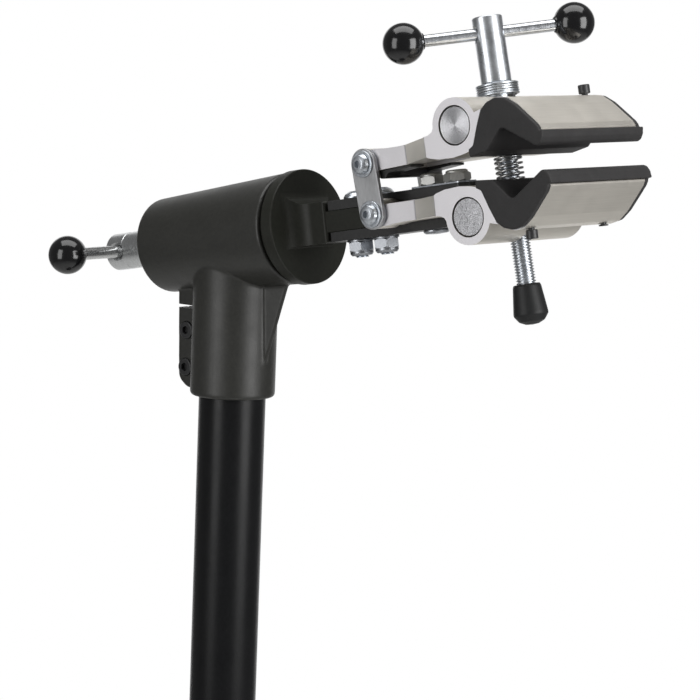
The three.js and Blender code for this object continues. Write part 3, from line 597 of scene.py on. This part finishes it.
# ------------------------------------------------------------------ turning head
finish_piece("cone_liner", lathe([(hub_r(-39) + 0.35, -39), (hub_r(-39) + 2.15, -39), (hub_r(56) + 2.15, 56), (hub_r(56) + 0.35, 56), (hub_r(-39) + 0.35, -39)], "x", seg=96), HEAD, bronze)
disc = lathe([(0, -40), (hub_r(-40), -40, 1), (hub_r(58), 58, 0.6), (38.2, 58.8), (38.2, 62.8), (42, 62.8, 0.5), (42, 72.1, 0.9), (0, 72.1)], "x", seg=160, n=4)
by, bz0, bz1, bx = 13.6, -14.3, 15.7, 99.8
R1, R2, R3 = 10.5, 2.2, 15.0
fx = 72.05
side = prism([(66, bz0 - R2)] + arc(fx + R2, bz0 - R2, R2, 180, 90, 8) + [(bx, bz0, 2.2), (bx, bz1, 2.2)] + arc(fx + R1, bz1 + R1, R1, 270, 180, 14) + [(66, bz1 + R1)], -40, 40, "xz", 8)
flat = prism([(66, -by - R3)] + arc(fx + R3, -by - R3, R3, 180, 90, 14) + [(bx, -by, 2.2), (bx, by, 2.2)] + arc(fx + R3, by + R3, R3, 270, 180, 14) + [(66, by + R3)], -40, 40, "xy", 8)
block = bevel(meet(side, flat, rod(41.5, 60, 120, "x", seg=128)), 2.2, 5, 40)
zc, th, arm_y = 0.75, 7.6, 12.5
tongue = prism([(95, -arm_y), (153.4, -arm_y, 4), (153.4, arm_y, 4), (95, arm_y)], zc - th, zc + th, "xy")
disc = join(disc, block)
disc = join(disc, bevel(tongue, 0.5, 2))
disc = cut(disc, rod(8.35, -41, 12, "x", seg=32), *[rod(5.35, -10, 12, "z", (x, 0, 0), 24) for x in (119.6, 143.4)])
finish_piece("rotating_disc", disc, HEAD, disc_black, smooth=28)
finish_piece("drawbolt", rod(8, -103, 11.5, "x", seg=48, c=1.0), HEAD, steel_x)

# ------------------------------------------------------------------ tension handle
finish_piece("tension_washer", tube(15.6, 8.4, -75.2, -72.4, "x", seg=72, c=0.4), HEAD, zinc)
boss = lathe([(0, -125.7), (14, -125.7, 1.3), (14, -109.2), (13.75, -108.9), (13.75, -108.3), (14, -108), (14, -75.6, 1.1), (0, -75.6)], "x", seg=96)
boss = cut(boss, rod(8.4, -104, -70, "x", seg=40), lathe([(0, -30), (7.4, -30), (7.4, -12.6), (5.05, -11.0), (5.05, 11.0), (7.4, 12.6), (7.4, 30), (0, 30)], "y", (-114.6, 0, 0), 48))
finish_piece("tension_boss", boss, HEAD, steel_x, smooth=28)
finish_piece("tension_bar", rod(4.7, -60, 60, "y", (-114.6, 0, 0), 48, 0.8), HEAD, steel_y)


def knob(bar_r, side, dist, axis, at=(0, 0, 0)):
    r, prof = 14.5, [(0, -14.5)]
    neck = 6.2
    end = math.degrees(math.asin(math.sqrt(r * r - neck * neck) / r))
    steps = 40
    for i in range(1, steps + 1):
        a = math.radians(-90 + (90 + end) * i / steps)
        prof.append((r * cos(a), r * sin(a)))
    s1 = prof[-1][1]
    prof += [(neck - 0.5, s1 + 0.9), (bar_r + 0.9, s1 + 1.1), (bar_r + 0.35, s1 + 0.6), (bar_r + 0.35, -9), (0, -9)]
    # closed shell: the blind hole is part of the turned outline
    q = [(a, side * (dist - b)) for a, b in prof]
    return lathe(q, axis, at, 96)


for s, n in ((-1, "near"), (1, "far")):
    finish_piece("tension_knob_" + n, knob(4.7, s, 65, "y", (-114.6, 0, 0)), HEAD, knob_black, smooth=24, weighted=False)

# ------------------------------------------------------------------ arm plates and their fasteners
ax0, ax1, pt = 101.6, 230, 7
zin = th + 0.2
zt, zb = zc + zin + pt, zc - zin - pt
outline = [(ax0, -arm_y, 1.5), (ax1 - 6, -arm_y, 3), (ax1, -arm_y + 6, 3), (ax1, arm_y - 6, 3), (ax1 - 6, arm_y, 3), (ax0, arm_y, 1.5)]
for node, a, b in (("arm_plate_top", zc + zin, zt), ("arm_plate_bottom", zb, zc - zin)):
    p = cut(prism(outline, a, b, "xy"), *[rod(5.35, a - 5, b + 5, "z", (x, 0, 0), 32) for x in (119.6, 143.4, 190.6, 213.9)])
    finish_piece(node, bevel(p, 0.8, 3), HEAD, arm_black)


def thread(r, pitch, z0, z1, depth, seg=48, at=(0, 0, 0)):
    """A right-hand V thread: one ridged surface swept along its helix, closed at both ends."""
    prof = [(r, 0.0), (r, 0.16), (r - depth * 0.55, 0.36), (r - depth, 0.50), (r - depth, 0.62), (r - depth * 0.55, 0.78)]
    turns = int(math.ceil((z1 - z0) / pitch)) + 2
    verts, k = [], len(prof)
    for i in range(turns * seg + 1):
        w = 2 * PI * i / seg
        for pr, pf in prof:
            z = z0 - pitch + pitch * i / seg + pf * pitch
            verts.append((pr * cos(w) + at[0], pr * sin(w) + at[1], min(max(z, z0), z1) + at[2]))
    faces = []
    for i in range(turns * seg):
        for j in range(k):
            a, b = i * k + j, (i + 1) * k + j
            if j < k - 1:
                faces.append([a, b, b + 1, a + 1])
            else:
                # the last flank meets the first crest one turn on
                a2, b2 = (i + seg) * k, (i + 1 + seg) * k
                if b2 < len(verts):
                    faces.append([a, b, b2, a2])
    me = bpy.data.meshes.new("w")
    me.from_pydata(verts, [], faces)
    bm = bmesh.new()
    bm.from_mesh(me)
    bmesh.ops.remove_doubles(bm, verts=bm.verts, dist=1e-4)
    bmesh.ops.dissolve_degenerate(bm, dist=1e-4, edges=bm.edges)
    flat = [f for f in bm.faces if all(abs(v.co.z - z0 - at[2]) < 1e-5 for v in f.verts) or all(abs(v.co.z - z1 - at[2]) < 1e-5 for v in f.verts)]
    bmesh.ops.delete(bm, geom=flat, context="FACES")
    bmesh.ops.delete(bm, geom=[v for v in bm.verts if not v.link_faces], context="VERTS")
    edges = [e for e in bm.edges if e.is_boundary]
    bmesh.ops.holes_fill(bm, edges=edges, sides=0)
    bmesh.ops.recalc_face_normals(bm, faces=bm.faces)
    bm.to_mesh(me)
    bm.free()
    o = bpy.data.objects.new("w", me)
    scene.collection.objects.link(o)
    return o


for i, x in enumerate((119.6, 143.4)):
    at = (x, 0, 0)
    dome = lathe([(0, zt + 0.2), (9.2, zt + 0.2, 0.3), (9.2, zt + 1.3, 0.5), (7.6, zt + 3.6, 2), (4.6, zt + 5.2, 2), (0, zt + 5.5)], "z", at, 64)
    finish_piece("tongue_bolt_%d" % (i + 1), gather(rod(5, zb - 8, zt + 1, "z", at, 40), thread(5, 1.5, zb - 13, zb - 8, 0.85, 40, at), dome), HEAD, zinc)
    collar_n = lathe([(5.35, zb - 11.8), (7.2, zb - 11.8, 0.9), (8.4, zb - 10.2, 0.8), (8.4, zb - 8.5), (5.35, zb - 8.5), (5.35, zb - 11.8)], "z", at, 64)
    hx = cut(hexagon(17, zb - 8.7, zb - 1.5, at, 1.3, 0.15), rod(5.35, zb - 20, zb + 5, "z", at, 32))
    washer = tube(9.7, 5.35, zb - 1.6, zb - 0.2, "z", at, 64)
    finish_piece("tongue_nut_%d" % (i + 1), gather(washer, bevel(hx, 0.35, 2), collar_n), HEAD, nut_zinc)
jaw_x = (190.6, 213.9)
nut_plate = prism([(jaw_x[0] - 12, -9.6, 2), (jaw_x[1] + 8, -9.6, 3), (jaw_x[1] + 13, -5, 3), (jaw_x[1] + 13, 5, 3), (jaw_x[1] + 8, 9.6, 3), (jaw_x[0] - 12, 9.6, 2)], zt + 0.2, zt + 1.6, "xy")
nut_plate = cut(nut_plate, *[rod(5.35, zt - 5, zt + 5, "z", (x, 0, 0), 32) for x in jaw_x])
finish_piece("jaw_nut_plate", bevel(nut_plate, 0.3, 2), HEAD, zinc)
for i, x in enumerate(jaw_x):
    at, z = (x, 0, 0), zt + 1.8
    low = lathe([(0, zb - 0.2), (9.4, zb - 0.2, 0.3), (9.4, zb - 1.5, 0.5), (8, zb - 2.8, 1), (0, zb - 3.4)], "z", at, 64)
    low = cut(low, moved(hexagon(6, zb - 5, zb - 1.6, cham=0.01), T(at)))
    stud = gather(rod(5, zb - 1, zt + 1, "z", at, 40), thread(5, 1.5, zt + 1, z + 7.6, 0.85, 40, at))
    finish_piece("jaw_bolt_%d" % (i + 1), gather(stud, low), HEAD, nut_zinc)
    hx = cut(hexagon(17, z, z + 6.2, at, 1.2, 0.35 + 0.3 * i), rod(5.35, z - 5, z + 15, "z", at, 32))
    top_n = lathe([(5.35, z + 6), (7.9, z + 6), (7.9, z + 7.4, 0.6), (6.6, z + 8.2, 0.6), (5.35, z + 8.2), (5.35, z + 6)], "z", at, 64)
    # The jaw nuts take the brighter painted-light copy of the zinc.
    finish_piece("jaw_nut_%d" % (i + 1), gather(bevel(hx, 0.35, 2), top_n), HEAD, jaw_nut_zinc)

# ------------------------------------------------------------------ jaws
ARM_Z0, ARM_Z1, LINK_J, JAW_Y, ARM_Y, END_R = 3.9, 17.6, (-99.3, 11.6), 53.4, 32, 10.5
jaw_profile = [(-30, ARM_Z0), (-24, ARM_Z0 - 0.8), (-20.4, ARM_Z0 - 2.4)] + arc(0, 0, 19, 183, 342, 36) + [(21.5, -6.6, 3), (27, -7.6, 4), (32.5, -11, 5), (40, -13, 4), (48, -11.4, 5), (56, -5.4, 6), (64.5, 3.4, 6), (71, 10.2, 3), (72.8, 13.4, 1.5), (72.6, 14.8, 0.5), (70, 15.4), (44.5, 1.8), (40, 1.8), (24.5, 17), (12.3, 18.6, 4), (6, 20.3, 4), (-4.5, 21.5, 8), (-17.6, 20.7, 8), (-25, 18.9, 5), (-28, ARM_Z1), (-30, ARM_Z1)]
jaw_plan = [(-99.3, -ARM_Y), (-62.8, -ARM_Y, 4), (-28, -JAW_Y, 2), (90, -JAW_Y), (90, JAW_Y), (-28, JAW_Y, 2), (-62.8, ARM_Y, 4), (-99.3, ARM_Y)]
PAD_Y = (-40.5, 41)


def crest(y):
    return T((43, y, -12.4)) @ RY(PI)


def jaw(upper):
    m = prism(jaw_profile, -JAW_Y, JAW_Y, "xz", 5)
    end = prism(arc(LINK_J[0], LINK_J[1], END_R, 35, 300, 48) + [(-90, 2.4, 3), (-82, 3.4, 8), (-70, ARM_Z0, 8), (-29, ARM_Z0), (-29, ARM_Z1)], -JAW_Y, JAW_Y)
    m = join(m, end)
    m = meet(m, prism([(-115, -ARM_Y)] + jaw_plan[1:7] + [(-115, ARM_Y)], -40, 40, "xy"))
    if not upper:
        m = cut(m, box(-112, -29, -13.2, 13.2, -5, 3.85), box(-112, -88, -13.2, 13.2, 18.95, 30), box(-112, -107, -13.2, 13.2, -5, 30))
        m = join(m, box(-98, -26, -12.2, 12.2, 10, 18.95))
    m = cut(m, rod(13.8, -60, 60, "y", seg=72))
    if upper:
        m = cut(m, box(-12.6, 14.4, -9.9, 9.9, -25, 0), box(-12.8, 9.8, -8.2, 8.2, 0, 25), box(-83.5, -31, -14.5, 14.5, 12.95, 30))
    else:
        m = cut(m, box(-10.2, 11.6, -8.2, 8.2, -25, 0), box(-11.6, 9.6, -8.2, 8.2, 0, 25), *[rod(5.35, -30, 30, "z", (x - LOWER_PIN[0], 0, 0), 32) for x in jaw_x])
    m = bevel(m, 0.55, 3, 30)
    m = cut(m, rod(4.3, -60, -10, "y", (LINK_J[0], 0, LINK_J[1]), 32), rod(4.3, 10, 60, "y", (LINK_J[0], 0, LINK_J[1]), 32))
    return cut(m, *[moved(rod(2.4, -16, 10, seg=24), crest(y)) for y in PAD_Y])


finish_piece("lower_jaw", jaw(False), LOW_J, alu_low, smooth=26)
finish_piece("upper_jaw", jaw(True), UP_J, alu_up, smooth=26)

pad_face = [(12.4, 23.9, 1.0), (28, 21.7, 2.5), (41.1, 8.9, 1.5), (43.8, 8.7, 1.5), (68.4, 24.3, 2), (70.4, 24.8, 2), (73.4, 23.3, 3), (75.5, 19.9, 3), (76.3, 15.2, 0.4)]
pad_body = [(73, 15.15), (69.9, 15.8), (44.3, 2.2), (40.2, 2.2), (24.7, 17.4), (12.4, 19)]
flange = [(73.2, 15), (73, 13.3, 1.5), (71.1, 10.1, 3), (64.5, 3.4, 5), (56, -5.3, 6), (48, -11, 6), (40, -12.5, 6), (32.7, -10.5, 5), (27, -6.5, 4), (21.8, 4, 4), (16.5, 16.4, 3), (12.4, 18.3, 0.6)]


def pad():
    """Moulded in one: the two flanged ends and the middle are fused, and every edge comes out soft."""
    m = prism(list(reversed(pad_face + pad_body)), -56.6, 56.6, "xz", 6)
    m = cut(m, *[moved(rod(2.4, -18.3, 10, seg=24), crest(y)) for y in PAD_Y])
    ends = [prism(list(reversed(pad_face + flange)), a, b, "xz", 6) for a, b in ((-57.55, -53.7), (53.7, 57.55))]
    return remesh(gather(m, *ends), 0.55, 5, 0.5)


finish_piece("lower_pad", pad(), LOW_J, pad_rubber, smooth=60, weighted=False)
finish_piece("upper_pad", pad(), UP_J, pad_rubber, smooth=60, weighted=False)
for i, y in enumerate(PAD_Y):
    for which, m in (("lower", LOW_J), ("upper", UP_J)):
        tall = i == 0
        head = rod(4.1, 0.9, 7.2, seg=48, c=0.7) if tall else rod(3.4, 0.9, 1.9, seg=48, c=0.4)
        s = cut(join(rod(2.1, -17.9, 1.2, seg=24), head), hexagon(2.6, 4.5 if tall else 1.4, 9, cham=0.01))
        finish_piece("%s_pad_screw_%d" % (which, i + 1), s, m @ crest(y), oxide)
under = cut(prism([(-90.4, ARM_Z1 + 0.3), (-62, ARM_Z1 + 0.3), (-62, ARM_Z1 + 2), (-83, ARM_Z1 + 3, 3), (-86, ARM_Z1 + 6.2, 1), (-90.4, ARM_Z1 + 6.2, 1)], -30, 30), box(-84.5, -50, -15, 15, 0, 40))
finish_piece("under_arm_plate", bevel(under, 0.4, 2), UP_J, arm_black)

# ------------------------------------------------------------------ cross pins, thrust stack, screw, handle


def pin(profile_far, bore, extra=()):
    body_p = lathe(profile_far, "y", seg=96)
    return cut(body_p, rod(bore, -20, 20, "z", seg=64), *extra)


e = JAW_Y - 0.4
ringed = [(0, -e + 0.15), (1.2, -e + 0.15), (1.6, -e + 0.02), (4.4, -e + 0.02), (4.8, -e + 0.14), (5.2, -e + 0.02), (8.3, -e + 0.02), (8.8, -e + 0.15), (9.3, -e + 0.02), (12.95, -e, 0.7)]
mirror_r = [(r[0], -r[1]) + tuple(r[2:]) for r in reversed(ringed)]
finish_piece("upper_barrel_pin", pin(ringed + mirror_r, 7.45, (box(-20, 20, -10.4, 10.4, 11.3, 20),)), UP_S, upper_pin_steel, smooth=30)
finish_piece("lower_barrel_nut", pin([(0, -e), (12.95, -e, 0.7), (12.95, e, 0.7), (0, e)], 7.8), LOW_S, lower_pin_steel, smooth=30)
finish_piece("thrust_bush", lathe([(7.5, 11.6), (9.2, 11.6, 0.3), (9.2, 19.7), (15, 19.7, 0.6), (15, 20.8, 0.5), (14.1, 21.05), (14.1, 21.25), (15, 21.5, 0.4), (15, 22.5, 0.5), (7.5, 22.5), (7.5, 11.6)], "z", seg=80), UP_S, zinc)
race = lathe([(7.5, 22.8), (14.9, 22.8, 0.6), (14.9, 24.0, 0.5), (13.4, 24.25), (13.4, 24.45), (14.9, 24.7, 0.5), (14.9, 25.9, 0.6), (7.5, 25.9), (7.5, 22.8)], "z", seg=80)
finish_piece("thrust_race", race, UP_S, steel_s)
finish_piece("thrust_washer", tube(15, 7.5, 26.2, 27.8, "z", seg=80, c=0.5), UP_S, zinc)
boss = lathe([(0, 28.4), (10.65, 28.4, 0.8), (10.65, 75, 1.2), (0, 75)], "z", seg=96)
boss = cut(boss, moved(lathe([(0, -30), (6.2, -30), (6.2, -9.6), (4.6, -8.2), (4.6, 8.2), (6.2, 9.6), (6.2, 30), (0, 30)], "x", seg=48), T((0, 0, 63.5)) @ RZ(math.radians(51.5))))
boss = bevel(boss, 0.25, 2, 40)
screw = gather(boss, thread(7, 2.0, -112.4, 24.0, 1.25, 64), rod(6.9, 23.6, 28.6, "z", seg=64))
finish_piece("clamp_screw", screw, UP_S, screw_steel, smooth=24, weighted=False)
finish_piece("t_bar", rod(4.25, -56, 56, "x", seg=48, c=0.8), T_BAR, steel_t)
for s, n in ((-1, "near"), (1, "far")):
    finish_piece("t_knob_" + n, knob(4.25, s, 61, "x"), T_BAR, knob_black, smooth=24, weighted=False)
cap = lathe([(0, -140), (4.5, -139.6, 3), (8.9, -137.6, 3), (12.1, -133.2, 2.2), (12.1, -131.4, 1.4), (9.9, -113.6, 1.2), (9.2, -111.9, 0.7), (7.4, -111.9), (7.4, -112.9), (0, -112.9)], "z", seg=96)
finish_piece("screw_end_cap", cap, UP_S, cap_rubber, smooth=30)

# opening spring: closed and ground end turns, open turns between
coil, wire, ra, sz0, sz1, turns, per = [], 0.85, 9.2, 22.7, 39.8, 6.2, 40
steps = int(turns * per)
for i in range(steps + 1):
    t = i / steps
    k = min(max((t * turns - 0.8) / (turns - 1.6), 0), 1)
    z = sz0 + 0.3 + (sz1 - sz0 - 0.6) * (0.12 * t + 0.88 * k)
    w = 2 * PI * t * turns
    c, u = Vector((ra * cos(w), ra * sin(w), z)), Vector((cos(w), sin(w), 0))
    coil.append([tuple(c + u * (wire * cos(2 * PI * j / 14)) + Vector((0, 0, wire * sin(2 * PI * j / 14)))) for j in range(14)])
verts = [v for r_ in coil for v in r_]
faces = [[i * 14 + j, i * 14 + (j + 1) % 14, (i + 1) * 14 + (j + 1) % 14, (i + 1) * 14 + j] for i in range(steps) for j in range(14)]
faces += [list(range(14)), list(range(steps * 14, steps * 14 + 14))]
spring = obj_from(verts, faces)
spring.name = spring.data.name = "opening_spring_shape"
spring.data.transform(Matrix.Scale(0.001, 4) @ LOW_S)
for p in spring.data.polygons:
    p.use_smooth = True
spring.data.set_sharp_from_angle(angle=math.radians(50))
spring.data.materials.append(spring_steel)
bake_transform(spring)
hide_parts("opening_spring")

# ------------------------------------------------------------------ links
LL, LU, LR, LT, LY = (163.0, 0.9), (159.95, 36.6), 10.8, 3.2, 33.4
la = math.degrees(math.atan2(LU[1] - LL[1], LU[0] - LL[0]))
link_line = arc(LU[0], LU[1], LR, la - 90, la + 90, 32) + arc(LL[0], LL[1], LR, la + 90, la + 270, 32)
for s, n in ((-1, "near"), (1, "far")):
    a, b = (-LY - LT, -LY) if s < 0 else (LY, LY + LT)
    plate_l = bevel(cut(prism(link_line, a, b), rod(4.3, -60, 60, "y", (LL[0], 0, LL[1]), 40), rod(4.3, -60, 60, "y", (LU[0], 0, LU[1]), 40)), 0.45, 3)
    finish_piece("link_" + n, plate_l, HEAD, zinc_link)
    for c_, w in ((LL, "lower"), (LU, "upper")):
        out, at = LY + LT, (c_[0], 0, c_[1])
        st = (lambda pr: [(p[0], -p[1]) + tuple(p[2:]) for p in pr]) if s < 0 else (lambda pr: pr)
        finish_piece("link_washer_%s_%s" % (w, n), lathe(st([(4.3, out + 0.2), (9.5, out + 0.2, 0.3), (9.5, out + 1.6, 0.6), (4.3, out + 1.6), (4.3, out + 0.2)]), "y", at, 72), HEAD, zinc)
        bolt = lathe(st([(0, 18), (3.95, 18, 0.4), (3.95, out + 1.8), (7.35, out + 1.8, 0.3), (7.35, out + 2.6, 0.5), (6.3, out + 4.7, 1.6), (4.2, out + 5.9, 1.2), (0, out + 6.2)]), "y", at, 72)
        spacer = tube(10.3, 3.9, min(st([(0, ARM_Y + 0.25)])[0][1], st([(0, LY - 0.25)])[0][1]), max(st([(0, ARM_Y + 0.25)])[0][1], st([(0, LY - 0.25)])[0][1]), "y", at, 48, 0.2)
        sock = moved(hexagon(5, 0, 5, cham=0.01), T((c_[0], s * (out + 3), c_[1])) @ RX(PI / 2 if s < 0 else -PI / 2))
        finish_piece("link_bolt_%s_%s" % (w, n), join(cut(bolt, sock), spacer), HEAD, zinc, smooth=28)

# ------------------------------------------------------------------ floor, light, camera
floor = obj_from([(2.4 * cos(i * PI / 64), 2.4 * sin(i * PI / 64), 0) for i in range(128)], [list(range(128))])
floor.name = "floor"
fm = Mat("pale_floor", (0.82, 0.82, 0.81), 0.0, 0.6, 0.3)
fm.rough_in(fm.ramp(fm.noise(fm.coord(), 0.02, 3.0), 0.3, 0.7, 0.55, 0.7))
floor.data.materials.append(fm.m)

world = bpy.data.worlds.new("studio")
scene.world = world
world.use_nodes = True
wt = world.node_tree
bg = wt.nodes["Background"]
bg.inputs[0].default_value = (1, 1, 1, 1)
paper = wt.nodes.new("ShaderNodeLightPath")
level = wt.nodes.new("ShaderNodeMapRange")
level.inputs["To Min"].default_value, level.inputs["To Max"].default_value = 0.16, 1.0
wt.links.new(paper.outputs["Is Camera Ray"], level.inputs["Value"])
wt.links.new(level.outputs["Result"], bg.inputs[1])
scene.view_settings.view_transform = "Standard"


def area(name, at, to, w, h, power, color=(1, 1, 1)):
    l = bpy.data.lights.new(name, "AREA")
    l.shape, l.size, l.size_y, l.energy, l.color = "RECTANGLE", w, h, power, color
    o = bpy.data.objects.new(name, l)
    scene.collection.objects.link(o)
    o.location = at
    o.rotation_euler = (Vector(to) - Vector(at)).to_track_quat("-Z", "Y").to_euler()
    return o


aim = Vector((0.10, 0, 1.45))
az, el, roll = -0.8645854, 0.1254482, 0.0368476
d = Vector((cos(el) * cos(az), cos(el) * sin(az), sin(el)))
right = (-d).cross(Vector((0, 0, 1))).normalized()
up = right.cross(-d)
r2, u2 = cos(roll) * right + sin(roll) * up, -sin(roll) * right + cos(roll) * up


def softbox(name, across, upward, toward, dist, w, h, radiance, color=(1, 1, 1)):
    o = area(name, aim + (right * across + up * upward + d * toward).normalized() * dist, aim, w, h, radiance * PI * w * h, color)
    o.visible_camera = False
    return o


softbox("right_softbox", 0.79, 0.05, 0.61, 1.7, 0.95, 1.5, 6.0)
softbox("left_softbox", -0.75, 0.02, 0.66, 1.7, 0.75, 1.5, 3.6)
softbox("top_softbox", 0.0, 0.99, 0.155, 1.5, 2.1, 1.1, 3.2)
softbox("back_light", 0.0, 0.10, -1.0, 2.4, 3.2, 2.6, 0.9)

cam = bpy.data.cameras.new("camera")
cam.sensor_width, cam.lens, cam.clip_start, cam.clip_end = 36, 164.62, 0.05, 60
camera = bpy.data.objects.new("camera", cam)
scene.collection.objects.link(camera)
m3 = Matrix((r2, u2, d)).transposed().to_4x4()
camera.matrix_world = T((1.603488, -1.746358, 1.666692)) @ m3
scene.camera = camera
